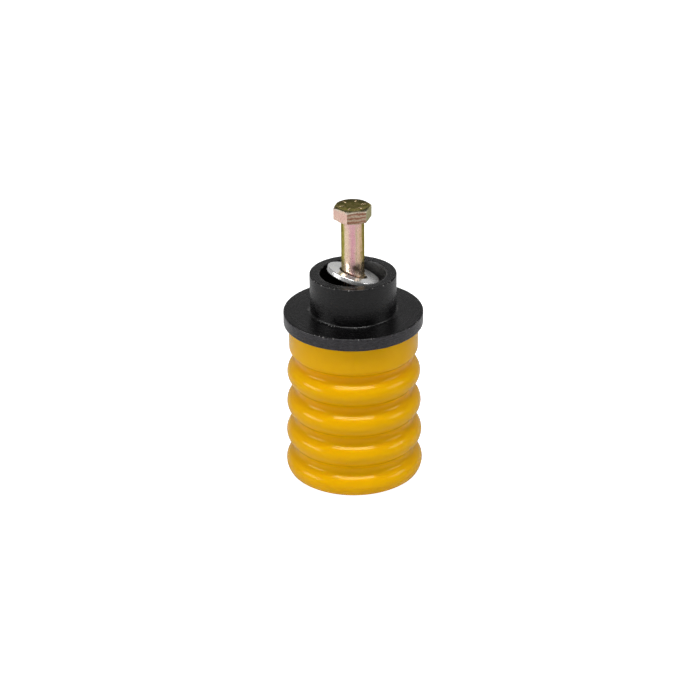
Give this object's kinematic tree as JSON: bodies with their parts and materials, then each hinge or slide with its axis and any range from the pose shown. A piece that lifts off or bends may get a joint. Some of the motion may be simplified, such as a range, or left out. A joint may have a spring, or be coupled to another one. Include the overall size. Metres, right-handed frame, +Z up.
{
  "type": "ribbed elastomer buffer with bolt-on collar",
  "caption": "Upright ribbed elastomer buffer under a flanged collar, with a hexagon-head bolt and a loose washer standing in the collar's recess.",
  "frame": {"origin": "centre of the buffer's foot, on the surface it stands on", "axes": "+Z up along the bolt; +X to the right and -Y towards the viewer of the pictured side"},
  "size_m": [0.074, 0.074, 0.1514],
  "materials": {
    "elastomer": "semi-gloss moulded",
    "collar": "satin, turned",
    "insert_steel": "turned",
    "washer_steel": "bright plated",
    "bolt_steel": "yellow chromated, satin"
  },
  "bodies": {
    "buffer": {"ribbed_body": "elastomer"},
    "collar": {"flanged_collar": "collar", "thread_insert": "insert_steel"},
    "washer": {"plain_washer": "washer_steel"},
    "bolt": {"hex_bolt": "bolt_steel"}
  },
  "joints": [
    {"name": "buffer_compression", "type": "slide", "parent": "buffer", "child": "collar", "axis": [0, 0, -1], "range_m": [0, 0.026], "stiffness_N_per_m": 60000, "deforming": ["ribbed_body"]},
    {"name": "bolt_advance", "type": "slide", "parent": "collar", "child": "washer", "axis": [0, 0, 1], "range_m": [-0.01312, 0.01225]},
    {"name": "bolt_turn", "type": "hinge", "parent": "washer", "child": "bolt", "pos_m": [0, 0, 0.113], "axis": [0, 0, 1], "range_deg": [-2700, 2520]}
  ],
  "couplings": [
    {"joint": "bolt_turn", "follows": "bolt_advance", "rad_per_m": 3590.4}
  ]
}
